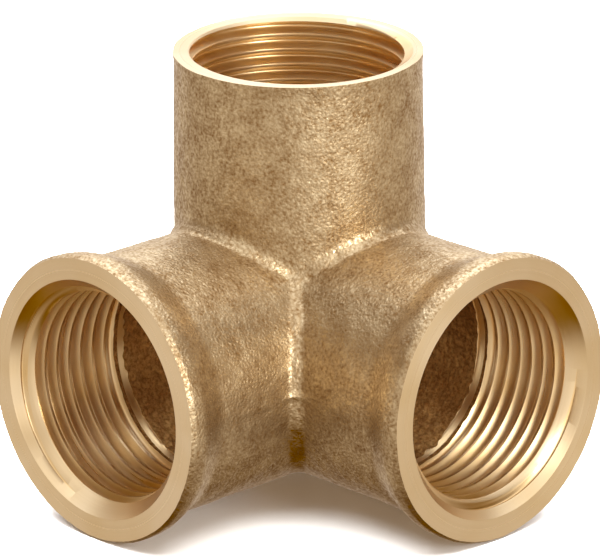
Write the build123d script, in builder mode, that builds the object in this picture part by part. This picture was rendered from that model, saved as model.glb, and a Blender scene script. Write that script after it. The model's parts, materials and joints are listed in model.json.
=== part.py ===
# Side-outlet elbow: a three-way corner pipe fitting, cast in gunmetal and threaded inside
# at all three ends. The sockets stand at right angles to each other and their axes cross
# at one point inside the hub. Two of them carry a flared collar, and the top one is plain.
# The real object is a single casting. Each node here is one region of it, face to face
# with its neighbours: the hub, the barrels, the collars and the machined thread linings.
# A lining is bored to the thread's crests, and its lead-in is the real countersink.
# Millimetres, +Z up. The origin is the bottom centre of the bounding box.
import os
from build123d import *

# Thread: parallel pipe thread, three-quarter inch, 14 turns per inch, 55 degree flanks
thread_pitch = 25.4 / 14
depth_per_pitch = 0.640327   # of the rounded 55 degree form
thread_major_diameter = 26.441

# Sockets
side_centre_to_face = 32.5   # from the axes' crossing to a side socket's machined end face
top_centre_to_face = 34.0    # from the axes' crossing to the top socket's machined end face
side_lining_wall = 0.78      # metal behind the thread's root that belongs to a side lining
side_casting_wall = 1.2      # cast metal round a side lining
top_lining_wall = 0.5        # the top socket is slimmer than the side ones
top_casting_wall = 0.7
side_chamfer_depth = 2.3     # countersunk lead-in at the two side mouths
side_mouth_land = 0.06       # flat ring left on the lining outside the side lead-in
top_mouth_clearance = 0.45   # how far the top mouth's edge stands back from the bore, radially
top_chamfer_depth = 0.45
top_barrel_draft = 0.15      # the top barrel gets thinner by this radius towards its face
top_edge_break = 0.1         # the top rim's outer edge is left nearly sharp
side_barrel_draft = 0.2      # a side barrel gets thicker by this radius towards its collar

# Collars
collar_rise = 1.55           # radial height of the collar above the barrel's root
collar_length = 5.6          # from the end face back to the barrel
collar_land = 1.9            # nearly straight part of the collar, next to the face
collar_flare = 0.1           # how much the land widens towards the face, radially
edge_break = 0.4             # rounding of the collar's outer edge

# Hub
core_clearance = 0.3         # radial step from the thread's bore out to the cored waterway
junction_radius = 2.0        # fillet between neighbouring barrels
hub_margin = 0.3             # straight cylinder left beyond the junction fillets

# Worked out from the sizes above
thread_depth = round(depth_per_pitch * thread_pitch, 3)
bore_radius = thread_major_diameter / 2 - thread_depth
side_lining_radius = thread_major_diameter / 2 + side_lining_wall
side_barrel_radius = side_lining_radius + side_casting_wall
top_lining_radius = thread_major_diameter / 2 + top_lining_wall
top_barrel_radius = top_lining_radius + top_casting_wall
collar_radius = side_barrel_radius + collar_rise
core_radius = bore_radius + core_clearance
hub_reach = side_barrel_radius + junction_radius + hub_margin
collar_foot = side_centre_to_face - collar_length
land_start = side_centre_to_face - collar_land
half_run = (side_centre_to_face - collar_radius) / 2

crossing = Vector(-half_run, half_run, collar_radius)
right_way = Vector(1, 0, 0)
left_way = Vector(0, -1, 0)
top_way = Vector(0, 0, 1)
socket_ways = {"left": left_way, "right": right_way, "top": top_way}
side_mouth_radius = side_lining_radius - side_mouth_land
top_mouth_radius = bore_radius + top_mouth_clearance
lining_radii = {"left": side_lining_radius, "right": side_lining_radius, "top": top_lining_radius}
barrel_radii = {"left": side_barrel_radius, "right": side_barrel_radius, "top": top_barrel_radius}
mouth_radii = {"left": side_mouth_radius, "right": side_mouth_radius, "top": top_mouth_radius}
face_reaches = {"left": side_centre_to_face, "right": side_centre_to_face, "top": top_centre_to_face}
chamfer_depths = {"left": side_chamfer_depth, "right": side_chamfer_depth, "top": top_chamfer_depth}
profile_side = {"left": right_way, "right": top_way, "top": right_way}


def profile_plane(socket):
    """The plane of a socket's turned profile: local X is the radius, local Y runs out along the axis."""
    radial = profile_side[socket]
    return Plane(origin=crossing, x_dir=radial, z_dir=radial.cross(socket_ways[socket]))


def socket_axis(socket):
    return Axis(crossing, socket_ways[socket])


def write(part, node):
    part.label = node
    export_step(part, f"parts/{node}.step")


os.makedirs("parts", exist_ok=True)

# Hub: three stub cylinders that meet in a ball, blended where they meet, and cored out
with BuildPart() as hub:
    for socket, way in socket_ways.items():
        with BuildSketch(Plane(origin=crossing, z_dir=way)):
            Circle(barrel_radii[socket])
        extrude(amount=hub_reach)
    with Locations(crossing):
        Sphere(side_barrel_radius)
    curved = hub.edges().filter_by(GeomType.LINE, reverse=True)
    junctions = curved.filter_by(GeomType.CIRCLE, reverse=True)
    fillet(junctions, junction_radius)
    for way in socket_ways.values():
        with BuildSketch(Plane(origin=crossing, z_dir=way)):
            Circle(core_radius)
        extrude(amount=hub_reach, mode=Mode.SUBTRACT)
    with Locations(crossing):
        Sphere(core_radius, mode=Mode.SUBTRACT)
write(hub.part, "hub")

# Side barrels: thin cast walls from the hub out to the collars
for side in ("left", "right"):
    with BuildPart() as side_barrel:
        with BuildSketch(profile_plane(side)):
            with BuildLine():
                Polyline(
                    (side_lining_radius, hub_reach),
                    (side_barrel_radius, hub_reach),
                    (side_barrel_radius + side_barrel_draft, collar_foot),
                    (side_lining_radius, collar_foot),
                    close=True,
                )
            make_face()
        revolve(axis=socket_axis(side))
    write(side_barrel.part, f"{side}_barrel")

# Top barrel: runs all the way to its machined rim and has no collar
with BuildPart() as top_barrel:
    with BuildSketch(profile_plane("top")):
        with BuildLine():
            Polyline(
                (top_lining_radius, hub_reach),
                (top_barrel_radius, hub_reach),
                (top_barrel_radius - top_barrel_draft, top_centre_to_face - top_edge_break),
                (top_barrel_radius - top_barrel_draft - top_edge_break, top_centre_to_face),
                (top_lining_radius, top_centre_to_face),
                close=True,
            )
        make_face()
    revolve(axis=socket_axis("top"))
write(top_barrel.part, "top_barrel")

# Collars: a bell-shaped flare swells from the barrel to a land beside the end face
for side in ("left", "right"):
    with BuildPart() as collar:
        with BuildSketch(profile_plane(side)):
            with BuildLine():
                flare = Spline(
                    (side_barrel_radius + side_barrel_draft, collar_foot),
                    (collar_radius - collar_flare, land_start),
                    tangents=[(0, 1), (collar_flare, collar_land)],
                )
                Polyline(
                    flare @ 1,
                    (collar_radius, side_centre_to_face - edge_break),
                    (collar_radius - edge_break, side_centre_to_face),
                    (side_lining_radius, side_centre_to_face),
                    (side_lining_radius, collar_foot),
                    flare @ 0,
                )
            make_face()
        revolve(axis=socket_axis(side))
    write(collar.part, f"{side}_collar")

# Thread linings: the machined metal of each socket, with its lead-in at the mouth
for socket, face_reach in face_reaches.items():
    with BuildPart() as thread:
        with BuildSketch(profile_plane(socket)):
            with BuildLine():
                Polyline(
                    (bore_radius, hub_reach),
                    (lining_radii[socket], hub_reach),
                    (lining_radii[socket], face_reach),
                    (mouth_radii[socket], face_reach),
                    (bore_radius, face_reach - chamfer_depths[socket]),
                    close=True,
                )
            make_face()
        revolve(axis=socket_axis(socket))
    write(thread.part, f"{socket}_thread")

print(f"crossing at {crossing.X:.3f}, {crossing.Y:.3f}, {crossing.Z:.3f} mm")
print(f"bore radius {bore_radius:.3f} mm, linings start {hub_reach:.2f} mm from the crossing")
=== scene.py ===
import json
import math

import bpy
import numpy as np
from mathutils import Matrix, Vector


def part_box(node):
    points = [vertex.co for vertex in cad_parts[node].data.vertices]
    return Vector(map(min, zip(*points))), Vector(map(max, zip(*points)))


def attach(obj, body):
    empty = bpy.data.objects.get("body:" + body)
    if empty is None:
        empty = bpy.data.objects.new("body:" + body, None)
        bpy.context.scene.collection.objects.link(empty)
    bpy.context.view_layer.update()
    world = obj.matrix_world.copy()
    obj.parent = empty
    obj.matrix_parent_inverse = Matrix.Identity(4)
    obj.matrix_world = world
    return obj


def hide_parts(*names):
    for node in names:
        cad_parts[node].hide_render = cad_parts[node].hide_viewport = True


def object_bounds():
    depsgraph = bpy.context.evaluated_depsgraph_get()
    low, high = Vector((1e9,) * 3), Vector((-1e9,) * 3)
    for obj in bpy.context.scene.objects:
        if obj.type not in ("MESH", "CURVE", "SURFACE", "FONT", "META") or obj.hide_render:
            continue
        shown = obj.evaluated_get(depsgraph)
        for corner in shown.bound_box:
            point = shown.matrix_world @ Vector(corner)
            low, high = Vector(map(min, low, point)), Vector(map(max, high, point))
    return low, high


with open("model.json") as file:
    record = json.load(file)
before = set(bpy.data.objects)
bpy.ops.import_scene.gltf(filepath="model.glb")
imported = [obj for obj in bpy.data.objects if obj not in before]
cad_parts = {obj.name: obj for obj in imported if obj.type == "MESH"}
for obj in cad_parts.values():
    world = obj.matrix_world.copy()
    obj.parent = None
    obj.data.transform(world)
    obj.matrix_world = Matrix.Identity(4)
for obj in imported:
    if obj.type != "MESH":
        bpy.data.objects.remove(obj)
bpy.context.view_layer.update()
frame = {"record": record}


# ---- sizes, read from the frame, in millimetres from the point where the socket axes cross
def boxMm(node):
    low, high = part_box(node)
    return np.array(low) * 1000, np.array(high) * 1000


def readFitting():
    topLow, topHigh = boxMm("top_thread")
    rimLow, rimHigh = boxMm("top_barrel")
    leftLow, leftHigh = boxMm("left_thread")
    collarLow, collarHigh = boxMm("left_collar")
    hubLow = boxMm("hub")[0]
    middle = (topLow + topHigh) / 2
    crossing = np.array([middle[0], middle[1], (leftLow[2] + leftHigh[2]) / 2])
    mounts = {mount["name"]: mount for mount in frame["record"]["mounts"]}
    return {
        "crossing": crossing,
        "sideReach": crossing[1] - collarLow[1],
        "topReach": topHigh[2] - crossing[2],
        "hubReach": topLow[2] - crossing[2],
        "collarFoot": crossing[1] - collarHigh[1],
        "barrelRadius": crossing[2] - hubLow[2],
        "topBarrelRadius": (rimHigh[0] - rimLow[0]) / 2,
        "liningRadius": (leftHigh[0] - leftLow[0]) / 2,
        "topLiningRadius": (topHigh[0] - topLow[0]) / 2,
        "collarRadius": (collarHigh[0] - collarLow[0]) / 2,
        "boreRadius": mounts["left_socket"]["dims"]["r_mm"],
    }


fitting = readFitting()
sockets = {
    "left": {"way": np.array([0.0, -1.0, 0.0]), "side": np.array([1.0, 0.0, 0.0])},
    "right": {"way": np.array([1.0, 0.0, 0.0]), "side": np.array([0.0, 1.0, 0.0])},
    "top": {"way": np.array([0.0, 0.0, 1.0]), "side": np.array([1.0, 0.0, 0.0])},
}
for socket, spec in sockets.items():
    upright = socket == "top"
    spec["reach"] = fitting["topReach" if upright else "sideReach"]
    spec["barrel"] = fitting["topBarrelRadius" if upright else "barrelRadius"]
    spec["lining"] = fitting["topLiningRadius" if upright else "liningRadius"]
print("sizes read:", {name: round(float(value), 3) for name, value in fitting.items() if name != "crossing"})


# ---- meshes
def meshObject(name, points, faces, finish):  # one new object, with one material
    mesh = bpy.data.meshes.new(name)
    mesh.from_pydata([tuple(p) for p in points], [], faces)
    mesh.materials.append(finish)
    piece = bpy.data.objects.new(name, mesh)
    bpy.context.scene.collection.objects.link(piece)
    return piece


def withModifier(piece, kind, **settings):  # adds a modifier and keeps only its result
    modifier = piece.modifiers.new(kind.lower(), kind)
    for setting, value in settings.items():
        setattr(modifier, setting, value)
    graph = bpy.context.evaluated_depsgraph_get()
    mesh = bpy.data.meshes.new_from_object(piece.evaluated_get(graph), depsgraph=graph)
    piece.modifiers.clear()
    piece.data = mesh


def cutWith(piece, tool, operation="DIFFERENCE"):
    settings = {"solver": "MANIFOLD", "material_mode": "TRANSFER"}  # the cut keeps the tool's material
    withModifier(piece, "BOOLEAN", operation=operation, object=tool, **settings)


def discard(*pieces):
    for piece in pieces:
        bpy.data.objects.remove(piece)


def turned(name, outline, socket, finish, steps=180):  # outline of (radius, distance), from axis to axis
    points, faces, rings = [], [], []
    for radius, along in outline:
        if radius == 0:
            rings.append([len(points)] * steps)
            points.append((0, 0, along))
        else:
            rings.append(list(range(len(points), len(points) + steps)))
            angles = np.arange(steps) * 2 * math.pi / steps
            points += [(radius * math.cos(a), radius * math.sin(a), along) for a in angles]
    for low, high in zip(rings, rings[1:]):
        for i in range(steps):
            j = (i + 1) % steps
            corners = [low[i], low[j], high[j], high[i]]
            faces.append([c for k, c in enumerate(corners) if c not in corners[:k]])
    return meshObject(name, placed(points, socket), faces, finish)


def placed(points, socket):  # local Z is the socket's axis
    way, side = sockets[socket]["way"], sockets[socket]["side"]
    turn = np.stack([side, np.cross(way, side), way])
    return np.array(points, float) @ turn


# ---- the raw casting, as a distance field in millimetres
casting = {
    "grid": 0.32,  # size of the faces
    "fillet": 1.5,  # between neighbouring barrels
    "allowance": 1.0,  # extra length that the facing cut takes off
    "sideDraft": 0.2,
    "topDraft": -0.25,
    "topLip": 0.12,  # metal drawn outwards by the cut at the top rim
    "topLipLength": 1.6,
    "flareStart": 6.2,  # behind the end face
    "flareEnd": 1.6,
    "edgeRound": 0.5,  # length of the rounding at a collar's outer edge
    "edgeFall": 0.9,  # how fast the rounding falls away, per mm
    "lumps": {"height": 0.03, "wavelength": 7, "seed": 11},
    "pits": {"height": 0.018, "wavelength": 1.5, "seed": 12},
    "ridge": {  # where two barrels meet
        "height": 0.2,
        "width": 0.4,
        "cornerFrom": 0.15,  # how much the two barrels turn from each other before it shows
        "cornerFade": 0.3,
        "reach": 1.6,  # times the fillet, from the corner
        "uneven": {"middle": 0.75, "swing": 0.45, "wavelength": 4, "seed": 13, "least": 0.15, "most": 1.3},
    },
    "seam": {  # the parting line, level along the side barrels
        "height": 0.1,
        "width": 0.3,
        "cornerHeight": 0.14,  # it stands higher where the two side barrels meet
        "fadeFrom": 2,  # from the crossing
        "fade": 4,
        "wander": {"height": 0.12, "wavelength": 9, "seed": 14},
        "uneven": {"middle": 0.5, "swing": 0.6, "wavelength": 6, "seed": 15, "least": 0, "most": 1.3},
    },
}


def ripple(points, look, waves=48):  # smooth random relief, about -1 to 1
    rng = np.random.default_rng(look["seed"])
    ways = rng.normal(size=(waves, 3))
    ways /= np.linalg.norm(ways, axis=1)[:, None]
    steps = 2 * math.pi / look["wavelength"] * rng.uniform(0.65, 1.5, waves)
    phases = rng.uniform(0, 2 * math.pi, waves)
    return np.cos(points @ (ways * steps[:, None]).T + phases).sum(axis=1) / math.sqrt(waves)


def unevenness(points, look):  # a factor that makes a ridge come and go
    return np.clip(look["middle"] + look["swing"] * ripple(points, look), look["least"], look["most"])


def ease(x):  # from 0 to 1 with no corner
    x = np.clip(x, 0, 1)
    return x * x * (3 - 2 * x)


def outerRadius(along, socket):  # of a barrel and its collar
    reach = sockets[socket]["reach"]
    behind = reach - along
    past = np.clip((along - fitting["hubReach"]) / (reach - fitting["hubReach"]), 0, 1)
    if socket == "top":
        lip = casting["topLip"] * ease(1 - behind / casting["topLipLength"])
        radius = sockets["top"]["barrel"] + casting["topDraft"] * past + lip
    else:
        radius = fitting["barrelRadius"] + casting["sideDraft"] * past
        rise = fitting["collarRadius"] - fitting["barrelRadius"] - casting["sideDraft"]
        flare = (casting["flareStart"] - behind) / (casting["flareStart"] - casting["flareEnd"])
        radius = radius + rise * ease(flare)
    rounding = np.maximum(casting["edgeRound"] * (socket != "top") - behind, 0)
    return radius - casting["edgeFall"] * rounding**2


def armField(points, socket, radiusOf):  # distance to one barrel, and the way out of it
    way = sockets[socket]["way"]
    reach = np.maximum(points @ way, 0)
    across = points - reach[:, None] * way
    distance = np.linalg.norm(across, axis=1)
    return distance - radiusOf(reach, socket), across / np.maximum(distance, 1e-6)[:, None]


def junctions(points, radiusOf):  # each pair of barrels, their distances, and how far they turn apart
    arms = {socket: armField(points, socket, radiusOf) for socket in sockets}
    for one, other in (("left", "right"), ("left", "top"), ("right", "top")):
        (a, outA), (b, outB) = arms[one], arms[other]
        yield one, other, a, b, 1 - (outA * outB).sum(axis=1)


def blendedField(points, radiusOf, fillet):  # all three barrels, with rounded inner corners
    field = None
    for one, other, a, b, turn in junctions(points, radiusOf):
        size = np.maximum(fillet * np.clip(turn, 0, 1), 1e-3)
        outside = np.hypot(np.maximum(size - a, 0), np.maximum(size - b, 0))
        rounded = np.maximum(size, np.minimum(a, b)) - outside
        field = rounded if field is None else np.minimum(field, rounded)
    return field


def outerField(points):
    return blendedField(points, outerRadius, casting["fillet"])


def outerRelief(points):  # what stands proud of the smooth shape
    ridge, seam = casting["ridge"], casting["seam"]
    relief = 0
    for rough in (casting["lumps"], casting["pits"]):
        relief = relief + rough["height"] * ripple(points, rough)
    uneven = unevenness(points, ridge["uneven"])
    corner = 0
    for one, other, a, b, turn in junctions(points, outerRadius):
        across = (a - b) / math.sqrt(2)
        near = ease((turn - ridge["cornerFrom"]) / ridge["cornerFade"])
        near = near * ease(ridge["reach"] - np.maximum(a, b) / casting["fillet"])
        relief = relief + ridge["height"] * near * uneven * np.exp(-((across / ridge["width"]) ** 2))
        if other == "right":
            corner = near
    level = points[:, 2] + seam["wander"]["height"] * ripple(points, seam["wander"])
    aside = ease((np.maximum(points[:, 0], -points[:, 1]) - seam["fadeFrom"]) / seam["fade"])
    height = seam["height"] * aside * unevenness(points, seam["uneven"]) + seam["cornerHeight"] * corner
    return relief + height * np.exp(-((level / seam["width"]) ** 2))


# ---- the core that leaves the waterway hollow
core = {
    "grid": 0.3,
    "fillet": 0.8,
    "radius": 12.34,
    "mouthRadius": 11.6,  # less than the thread's bore, so that the tap cuts clean metal
    "narrowsFrom": 17.9,  # from the crossing: here the bore starts to be cut instead of cast
    "narrowsTo": 19.9,
    "allowance": 3.0,  # extra length past the end faces
    "lumps": {"height": 0.05, "wavelength": 5, "seed": 21},
    "pits": {"height": 0.03, "wavelength": 1.2, "seed": 22},
}


def coreRadius(along, socket):
    narrows = ease((along - core["narrowsFrom"]) / (core["narrowsTo"] - core["narrowsFrom"]))
    return core["radius"] + (core["mouthRadius"] - core["radius"]) * narrows


def coreField(points):
    return blendedField(points, coreRadius, core["fillet"])


def coreRelief(points):
    lumps, pits = core["lumps"], core["pits"]
    return lumps["height"] * ripple(points, lumps) + pits["height"] * ripple(points, pits)


# ---- a skin for a distance field
settling = {
    "rounds": 7,
    "smoothedRounds": 5,
    "smoothing": 0.5,  # share of the way to the neighbours' middle
    "leastSlope": 0.3,
    "longestMove": 0.6,
    "endMargin": 0.6,  # the flat ends are left as they are
}


def slope(field, points, step=0.02):  # the field, and the way in which it rises
    here = field(points)
    rise = np.stack([field(points + step * axis) - here for axis in np.eye(3)], axis=1) / step
    return here, rise


def ontoField(mesh, field, relief, ends):  # pulls a blocky skin onto the smooth field, then adds the relief
    points = np.empty(len(mesh.vertices) * 3)
    mesh.vertices.foreach_get("co", points)
    points = points.reshape(-1, 3)
    edges = np.empty(len(mesh.edges) * 2, int)
    mesh.edges.foreach_get("vertices", edges)
    edges = edges.reshape(-1, 2)
    degree = np.bincount(edges.ravel(), minlength=len(points))[:, None]
    loose = np.ones(len(points), bool)
    for socket, spec in sockets.items():
        loose &= points @ spec["way"] < spec["reach"] + ends - settling["endMargin"]
    for turn in range(settling["rounds"]):
        if turn < settling["smoothedRounds"]:
            total = np.zeros_like(points)
            np.add.at(total, edges[:, 0], points[edges[:, 1]])
            np.add.at(total, edges[:, 1], points[edges[:, 0]])
            points[loose] += settling["smoothing"] * (total / degree - points)[loose]
        here, rise = slope(field, points)
        push = rise * (here / np.maximum((rise**2).sum(axis=1), settling["leastSlope"]))[:, None]
        length = np.maximum(np.linalg.norm(push, axis=1), 1e-9)
        push *= np.minimum(1, settling["longestMove"] / length)[:, None]
        points[loose] -= push[loose]
    here, rise = slope(field, points)
    outward = rise / np.linalg.norm(rise, axis=1)[:, None]
    points[loose] += (outward * relief(points)[:, None])[loose]
    mesh.vertices.foreach_set("co", points.ravel())
    mesh.update()


def skinOf(name, field, relief, radius, ends, grid, finish):  # plain blocks, joined and pulled into shape
    steps = 96
    blocks = []  # one barrel each, with a blunt cone behind the crossing
    for socket, spec in sockets.items():
        end = spec["reach"] + ends
        outline = [(0, -0.5 * radius), (0.86 * radius, -0.45 * radius), (radius, 0), (radius, end), (0, end)]
        blocks.append(turned(name + socket, outline, socket, finish, steps))
    ball = [(radius * math.sin(a), -radius * math.cos(a)) for a in np.linspace(0, math.pi, steps // 2 + 1)]
    ball[0], ball[-1] = (0, -radius), (0, radius)
    skin = turned(name, ball, "top", finish, steps)
    for block in blocks:
        cutWith(skin, block, "UNION")
        discard(block)
    withModifier(skin, "REMESH", mode="VOXEL", voxel_size=grid)
    ontoField(skin.data, field, relief, ends)
    print(f"{name}: {len(skin.data.polygons)} faces")
    return skin


# ---- machining: facing cut, countersink and tap for each socket
thread = {  # 55 degree parallel pipe thread, 14 turns per inch
    "pitch": 25.4 / 14,
    "depth": 1.162,
    "flankAngle": 27.5,
    "rootRounding": 0.249,
    "crestFlat": 0.36,
    "steps": 160,  # around one turn
    "pastHub": 0.4,  # how far the tap goes into the hub
    "pastFace": 2.5,  # and how far out of the end face it reaches
    "runOut": 3.2,  # length over which the grooves get shallower at the deep end
    "runOutDrop": 0.75,
    "start": {"left": 0.35, "right": 0.05, "top": 0.3},  # where the groove starts, in turns
}
mouths = {  # the countersunk lead-ins
    "side": {"radius": fitting["liningRadius"] - 0.06, "depth": 2.3},  # it takes nearly the whole lining
    "top": {"radius": fitting["boreRadius"] + 0.45, "depth": 0.45},  # only a broken edge
}


def grooveRadius(place):  # place runs from -0.5 to 0.5 over one pitch, with the groove's root at 0
    root = fitting["boreRadius"] + thread["depth"]
    rounding = thread["rootRounding"]
    aside = abs(place) * thread["pitch"]
    lean = math.radians(thread["flankAngle"])
    joint = rounding * math.cos(lean)
    if aside < joint:
        return root - rounding + math.sqrt(rounding**2 - aside**2)
    flank = root - rounding + rounding * math.sin(lean) - (aside - joint) / math.tan(lean)
    return max(flank, fitting["boreRadius"])


def tapPlaces():  # rows are closer together where the form turns
    half = 0.5 - thread["crestFlat"] / thread["pitch"] / 2
    joint = thread["rootRounding"] * math.cos(math.radians(thread["flankAngle"])) / thread["pitch"]
    sharp = [-half, -(half + joint) / 2, -joint, -joint * 0.6, -joint * 0.2]
    return sharp + [-place for place in reversed(sharp)] + [0.48]  # the last is close to the next turn


def tapFor(socket, finish):  # a solid screw in the shape of the thread's hollow
    reach = sockets[socket]["reach"]
    pitch, steps = thread["pitch"], thread["steps"]
    places = tapPlaces()
    rows = len(places)
    deep = fitting["hubReach"] - thread["pastHub"]
    root = fitting["boreRadius"] + thread["depth"]
    turns = math.ceil((reach + thread["pastFace"] - deep) / pitch)
    count = turns * rows
    points = []
    for i in range(steps):
        angle = 2 * math.pi * i / steps
        for row in range(count + rows):
            turn, place = divmod(row, rows)
            along = deep + pitch * (turn + places[place] + i / steps + thread["start"][socket] - 1)
            limit = root - thread["runOutDrop"] * max(0, 1 - (along - deep) / thread["runOut"])
            radius = min(grooveRadius(places[place]), limit)
            points.append((radius * math.cos(angle), radius * math.sin(angle), along))
    tall = count + rows
    faces = []
    for i in range(steps):
        j, shift = (i + 1) % steps, rows if i == steps - 1 else 0
        for row in range(tall - 1 - shift):
            here, beside = i * tall + row, j * tall + row + shift
            faces.append((here, beside, beside + 1, here + 1))
    bottom = [i * tall for i in range(steps)] + [row for row in range(rows, 0, -1)]
    top = [(i + 1) * tall - 1 for i in range(steps)]
    top += [(steps - 1) * tall + row for row in range(tall - 2, tall - 2 - rows, -1)]
    for loop, along, flip in ((bottom, deep - 3 * pitch, True), (top, reach + 3 * pitch, False)):
        tip = len(points)
        points.append((0, 0, along))
        for a, b in zip(loop, loop[1:] + loop[:1]):
            faces.append((tip, b, a) if flip else (tip, a, b))
    return meshObject("tap_" + socket, placed(points, socket), faces, finish)


def machine(body, socket, finishes):  # faces, countersinks and taps one socket
    reach = sockets[socket]["reach"]
    mouth = mouths["top" if socket == "top" else "side"]
    lean = (mouth["radius"] - fitting["boreRadius"]) / mouth["depth"]
    wide, deep = 1.0, 1.2  # the countersink's cutter is longer than its cut by these
    broad, thick = 2 * fitting["liningRadius"], 6
    facing = [(0, reach), (broad, reach), (broad, reach + thick), (0, reach + thick)]
    sink = [
        (0, reach - mouth["depth"] - deep),
        (fitting["boreRadius"] - lean * deep, reach - mouth["depth"] - deep),
        (mouth["radius"] + lean * wide, reach + wide),
        (0, reach + wide),
    ]
    tools = [
        turned("facing_" + socket, facing, socket, finishes["turned"], steps=64),
        turned("sink_" + socket, sink, socket, finishes["turned"]),
        tapFor(socket, finishes["tapped"]),
    ]
    for tool in tools:
        cutWith(body, tool)
        discard(tool)
    print(f"machined the {socket} socket: {len(body.data.polygons)} faces")


# ---- the casting is taken apart into the frame's nodes
def regionOf(node):  # a solid that holds one node's share of the casting
    hub, wide = fitting["hubReach"], 1.4 * fitting["collarRadius"]
    over = 2  # the region reaches this far out of the end face
    socket, _, part = node.partition("_")
    reach, lining = sockets[socket]["reach"] + over, sockets[socket]["lining"]
    if part == "thread":
        return turned("region", [(0, hub), (lining, hub), (lining, reach), (0, reach)], socket, None)
    low = fitting["collarFoot"] if part == "collar" else hub
    high = fitting["collarFoot"] if part == "barrel" and socket != "top" else reach
    solid = turned("region", [(0, low), (wide, low), (wide, high), (0, high)], socket, None)
    hole = [(0, low - over), (lining, low - over), (lining, high + over), (0, high + over)]
    inside = turned("inside", hole, socket, None)
    cutWith(solid, inside)
    discard(inside)
    return solid


def hubRegion():  # a block behind the three planes where the barrels start
    hub, far = fitting["hubReach"], 2 * fitting["hubReach"]
    points = [(x, y, z) for z in (-far, hub) for y in (-hub, far) for x in (-far, hub)]
    faces = [(0, 2, 3, 1), (4, 5, 7, 6), (0, 1, 5, 4), (2, 6, 7, 3), (0, 4, 6, 2), (1, 3, 7, 5)]
    return meshObject("region", points, faces, None)


def keepTurning(piece, node):  # the way round the socket's axis and the distance from it, for tool marks
    points = np.array([v.co for v in piece.data.vertices])
    if node == "hub":
        lengths = np.stack([points @ spec["way"] for spec in sockets.values()], axis=1)
        nearest = lengths.argmax(axis=1)
    else:
        nearest = np.full(len(points), list(sockets).index(node.partition("_")[0]))
    ways = np.array([spec["way"] for spec in sockets.values()])[nearest]
    along = (points * ways).sum(axis=1)
    across = points - along[:, None] * ways
    radius = np.linalg.norm(across, axis=1)
    around = np.cross(ways, across) / np.maximum(radius, 1e-6)[:, None]
    place = np.stack([radius, along, np.zeros(len(points))], axis=1)
    for name, values in (("turningWay", around), ("turningPlace", place)):
        made = piece.data.attributes.new(name, "FLOAT_VECTOR", "POINT")
        made.data.foreach_set("vector", values.astype(np.float32).ravel())


def shareOf(body, node, name, slot):  # the piece that stands for one node
    region = hubRegion() if node == "hub" else regionOf(node)
    piece = bpy.data.objects.new(name, body.data.copy())
    bpy.context.scene.collection.objects.link(piece)
    cutWith(piece, region, "INTERSECT")
    discard(region)
    keepTurning(piece, node)
    toFrame = Matrix.Translation(Vector(fitting["crossing"] / 1000)) @ Matrix.Scale(0.001, 4)
    piece.data.transform(toFrame)
    piece.data.shade_smooth()
    piece.data.set_sharp_from_angle(angle=math.radians(40))
    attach(piece, "root")
    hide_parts(node)
    print(f"{name}: {len(piece.data.polygons)} faces")


# ---- materials
def linear(colour):  # "#RRGGBB" in sRGB to linear RGBA
    parts = [int(colour[i : i + 2], 16) / 255 for i in (1, 3, 5)]
    return [c / 12.92 if c <= 0.04045 else ((c + 0.055) / 1.055) ** 2.4 for c in parts] + [1]


def add(tree, kind, inputs, stops=(), **settings):  # a node, with values or links for its sockets
    node = tree.nodes.new("ShaderNode" + kind)
    for setting, value in settings.items():
        setattr(node, setting, value)
    for socket, value in inputs.items():
        if isinstance(value, bpy.types.NodeSocket):
            tree.links.new(value, node.inputs[socket])
        else:
            node.inputs[socket].default_value = value
    for element, (place, colour) in zip(node.color_ramp.elements if stops else (), stops):
        element.position, element.color = place, linear(colour)
    return node


def blankMaterial(name):
    material = bpy.data.materials.new(name)
    material.use_nodes = True
    material.node_tree.nodes.clear()
    return material, material.node_tree


# noise keeps mostly between 0.3 and 0.7, so the ranges below start and end there
castSkin = {  # gunmetal as it left the sand mould, then shot blasted: a satin, sparkling grain
    # dark end in the dents, pale end on the raised grains: partly fresher metal on the grain tops, partly
    # painted shade in the dents and painted sparkle on the tops
    "metal": ("#967448", "#E0CDA8"),
    "grain": 0.3,  # mm, the shot's dents; drawn a little coarser than they are
    "grainDepth": 0.055,
    "mottle": 2.4,  # mm, paler and darker clouds
    "roughness": (0.34, 0.6),
}


def noise(tree, vector, size, **inputs):  # clouds of a size in millimetres
    values = {"Vector": vector, "Scale": 1000 / size, **inputs}
    return add(tree, "TexNoise", values).outputs["Fac"]


def metalOutput(tree, colour, roughness, height, depth, **more):  # a bare metal; its relief is depth mm
    bump = add(tree, "Bump", {"Height": height, "Strength": 1.0, "Distance": depth / 1000})
    surface = {"Base Color": colour, "Metallic": 1.0, "Roughness": roughness, "Normal": bump.outputs[0]}
    shader = add(tree, "BsdfPrincipled", {**surface, **more})
    add(tree, "OutputMaterial", {"Surface": shader.outputs[0]})


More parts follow.
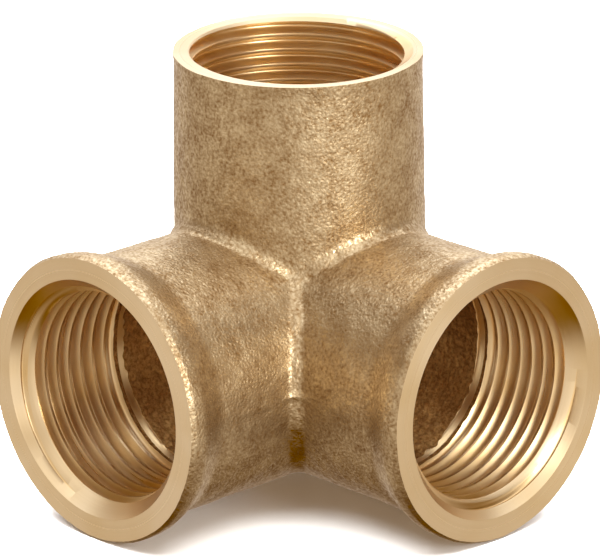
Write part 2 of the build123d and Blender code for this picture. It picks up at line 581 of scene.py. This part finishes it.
def castGunmetal():
    material, tree = blankMaterial("shot blasted gunmetal")
    place = add(tree, "TexCoord", {}).outputs["Object"]
    scale = 1000 / castSkin["grain"]
    dents = add(tree, "TexVoronoi", {"Vector": place, "Scale": scale, "Randomness": 1.0}, feature="SMOOTH_F1")
    sand = noise(tree, place, castSkin["grain"] / 0.8, Detail=3.0, Roughness=0.6)
    mottle = noise(tree, place, castSkin["mottle"], Detail=3.0, Roughness=0.55)
    height = add(tree, "Math", {0: dents.outputs["Distance"], 1: sand}, operation="ADD").outputs[0]
    # painted sparkle and painted shade: the colour follows the grain's height, pale on raised grains and dark
    # in dents, plus the random paler and darker clouds
    paintedSparkleAndTone = add(tree, "Math", {0: mottle, 1: 0.5, 2: sand}, operation="MULTIPLY_ADD").outputs[0]
    share = add(tree, "MapRange", {0: paintedSparkleAndTone, 1: 0.5, 2: 1.0}).outputs[0]
    colour = add(tree, "ValToRGB", {"Fac": share}, stops=tuple(enumerate(castSkin["metal"])))
    low, high = castSkin["roughness"]  # the raised grains are the smoother ones
    rough = add(tree, "MapRange", {0: sand, 1: 0.35, 2: 0.65, 3: high, 4: low})
    metalOutput(tree, colour.outputs[0], rough.outputs[0], height, castSkin["grainDepth"])
    return material


castCore = {  # gunmetal against the sand core: darker, rougher and never blasted as bright
    "metal": ("#8A6434", "#C49A60"),
    "grain": 0.4,  # mm
    "grainDepth": 0.06,
    "roughness": 0.5,
}


def coredGunmetal():
    material, tree = blankMaterial("cored gunmetal")
    place = add(tree, "TexCoord", {}).outputs["Object"]
    sand = noise(tree, place, castCore["grain"], Detail=3.0, Roughness=0.65)
    share = add(tree, "MapRange", {0: sand, 1: 0.35, 2: 0.65}).outputs[0]
    colour = add(tree, "ValToRGB", {"Fac": share}, stops=tuple(enumerate(castCore["metal"])))
    metalOutput(tree, colour.outputs[0], castCore["roughness"], sand, castCore["grainDepth"])
    return material


def cutGunmetal(name, look):  # metal with tool marks that run round the socket
    material, tree = blankMaterial(name)
    place = add(tree, "Attribute", {}, attribute_name="turningPlace").outputs["Vector"]
    way = add(tree, "Attribute", {}, attribute_name="turningWay").outputs["Vector"]
    whole = add(tree, "TexCoord", {}).outputs["Object"]
    rings = {"Vector": place, "Scale": 1 / look["marks"], "Detail": 2.0, "Roughness": 0.6}
    marks = add(tree, "TexNoise", rings).outputs["Fac"]
    bands = noise(tree, whole, look["bands"], Detail=2.0)
    dark, pale = look["metal"]
    colour = add(tree, "ValToRGB", {"Fac": bands}, stops=((0.3, dark), (0.7, pale)))
    low, high = look["roughness"]
    rough = add(tree, "MapRange", {0: marks, 1: 0.3, 2: 0.7, 3: low, 4: high})
    brushed = {"Anisotropic": look["brushed"], "Anisotropic Rotation": 0.25, "Tangent": way}
    metalOutput(tree, colour.outputs[0], rough.outputs[0], marks, look["markDepth"], **brushed)
    return material


turnedCut = {  # end faces and lead-ins, turned in a lathe: pale satin gold with fine rings
    "metal": ("#E8D0A4", "#F2DFBD"),
    "marks": 0.3,  # mm between the tool marks; drawn three times as coarse as they are
    "markDepth": 0.008,
    "bands": 9,  # mm, paler and darker parts
    "roughness": (0.26, 0.38),
    "brushed": 0.6,
}
tappedCut = {  # thread flanks left by the tap: smoother and more golden
    "metal": ("#E8C890", "#F2DAAE"),
    "marks": 0.35,
    "markDepth": 0.01,
    "bands": 5,
    "roughness": (0.26, 0.42),
    "brushed": 0.3,
}


# ---- the fitting
finishes = {
    "cast": castGunmetal(),
    "core": coredGunmetal(),
    "turned": cutGunmetal("turned gunmetal", turnedCut),
    "tapped": cutGunmetal("tapped gunmetal", tappedCut),
}
body = skinOf(
    "casting", outerField, outerRelief, fitting["barrelRadius"],
    casting["allowance"], casting["grid"], finishes["cast"],
)
hollow = skinOf(
    "core", coreField, coreRelief, core["radius"],
    core["allowance"], core["grid"], finishes["core"],
)
cutWith(body, hollow)
discard(hollow)
for socket in sockets:
    machine(body, socket, finishes)

pieces = {"hub": ("cast_hub", "cast_gunmetal")}
for socket in sockets:
    pieces[socket + "_barrel"] = (socket + "_cast_barrel", "cast_gunmetal")
    if socket != "top":
        pieces[socket + "_collar"] = (socket + "_cast_collar", "cast_gunmetal")
    pieces[socket + "_thread"] = (socket + "_tapped_lining", "machined_gunmetal")
for node, (name, slot) in pieces.items():
    shareOf(body, node, name, slot)
discard(body)


# ---- studio
studio = {
    "floor": 3.0,  # metres across
    "camera": {
        "azimuth": 46.348,
        "elevation": 19.552,
        "roll": -0.458,
        "distance": 0.74585,
        "lens": 387.45,
        "raise": 0.005922,  # metres that the aim stands above the crossing
    },
    "room": ("#FFEEDC", 0.74),  # warm light that fills the room
    # soft bright or dark parts of the room: azimuth, elevation, inner and outer angle, colour, strength
    "glows": {
        "backWall": (226, 25, 30, 80, "#E8F0FF", 0.5),
        "backTop": (226, 60, 15, 44, "#E4EEFF", 1.6),
        "window": (72, -8, 5, 38, "#F6FAFF", 0.5),
        "ceiling": (46, 88, 28, 62, "#F0F6FF", 0.6),
        "leftDark": (-52, 24, 10, 42, "#FFFFFF", -0.6),
        "rightDark": (144, 24, 10, 42, "#FFFFFF", -0.6),
        "leftLow": (-28, 3, 3, 22, "#FFFFFF", 0.5),
        "rightLow": (120, 3, 3, 22, "#FFFFFF", 0.4),
        "under": (46, -90, 25, 62, "#FFFFFF", -0.6),
    },
    # azimuth and elevation seen from the fitting, distance, size, watts, and whether metal mirrors it
    "softboxes": {
        "key": (84, 22, 0.9, 0.3, 3.8, True),
        "overhead": (46, 86, 1.2, 1.6, 110, False),
    },
}


def outward(azimuth, elevation):  # degrees; azimuth 0 is the front, and 90 is the right
    a, e = math.radians(azimuth), math.radians(elevation)
    return Vector((math.sin(a) * math.cos(e), -math.cos(a) * math.cos(e), math.sin(e)))


def makeFloor():
    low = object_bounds()[0].z
    half = studio["floor"] / 2
    material, tree = blankMaterial("pale paper")  # nearly white, with no gloss
    grain = add(tree, "TexNoise", {"Scale": 400.0, "Detail": 2.0})
    colour = add(tree, "ValToRGB", {"Fac": grain.outputs["Fac"]}, stops=((0.3, "#F6F6F6"), (0.7, "#FAFAFA")))
    shader = add(tree, "BsdfPrincipled", {"Base Color": colour.outputs[0], "Roughness": 0.9})
    add(tree, "OutputMaterial", {"Surface": shader.outputs[0]})
    corners = [(-half, -half, low), (half, -half, low), (half, half, low), (-half, half, low)]
    floor = meshObject("floor", corners, [(0, 1, 2, 3)], material)
    floor.visible_glossy = False  # the metal mirrors the room, not the paper


def makeRoom():  # the surroundings that the metal mirrors
    world = bpy.data.worlds.new("studio")
    world.use_nodes = True
    tree = world.node_tree
    direction = add(tree, "TexCoord", {}).outputs["Generated"]
    roomColour, roomStrength = studio["room"]
    scaled = {0: linear(roomColour)[:3], 1: [roomStrength] * 3}
    light = add(tree, "VectorMath", scaled, operation="MULTIPLY").outputs[0]
    for azimuth, elevation, inner, outer, colour, strength in studio["glows"].values():
        ways = {0: direction, 1: outward(azimuth, elevation)}
        towards = add(tree, "VectorMath", ways, operation="DOT_PRODUCT")
        edges = {1: math.cos(math.radians(outer)), 2: math.cos(math.radians(inner))}
        share = add(tree, "MapRange", {0: towards.outputs["Value"], **edges}, interpolation_type="SMOOTHSTEP")
        glow = [strength * part for part in linear(colour)[:3]]
        added = {0: share.outputs[0], 1: glow, 2: light}
        light = add(tree, "VectorMath", added, operation="MULTIPLY_ADD").outputs[0]
    tree.links.new(light, tree.nodes["Background"].inputs["Color"])
    bpy.context.scene.world = world


def makeLights():
    middle = Vector(fitting["crossing"] / 1000)
    for name, (azimuth, elevation, distance, size, power, mirrored) in studio["softboxes"].items():
        light = bpy.data.lights.new(name, "AREA")
        light.size, light.energy = size, power
        softbox = bpy.data.objects.new(name, light)
        softbox.location = middle + outward(azimuth, elevation) * distance
        softbox.rotation_euler = outward(azimuth, elevation).to_track_quat("Z", "Y").to_euler()
        softbox.visible_glossy = mirrored
        bpy.context.scene.collection.objects.link(softbox)


def makeCamera():
    spec = studio["camera"]
    back = outward(spec["azimuth"], spec["elevation"])
    right = outward(spec["azimuth"] + 90, 0)
    up = back.cross(right)
    roll = math.radians(spec["roll"])
    across = right * math.cos(roll) + up * math.sin(roll)
    camera = bpy.data.objects.new("camera", bpy.data.cameras.new("camera"))
    camera.data.lens = spec["lens"]
    aim = Vector(fitting["crossing"] / 1000) + up * spec["raise"]
    axes = Matrix((across, back.cross(across), back)).transposed()
    camera.matrix_world = Matrix.Translation(aim + back * spec["distance"]) @ axes.to_4x4()
    bpy.context.scene.collection.objects.link(camera)
    bpy.context.scene.camera = camera


makeFloor()
makeRoom()
makeLights()
makeCamera()
bpy.context.scene.view_settings.view_transform = "Standard"
bpy.context.scene.cycles.glossy_bounces = 8  # light has to find its way out of the thread's grooves
print("studio ready")
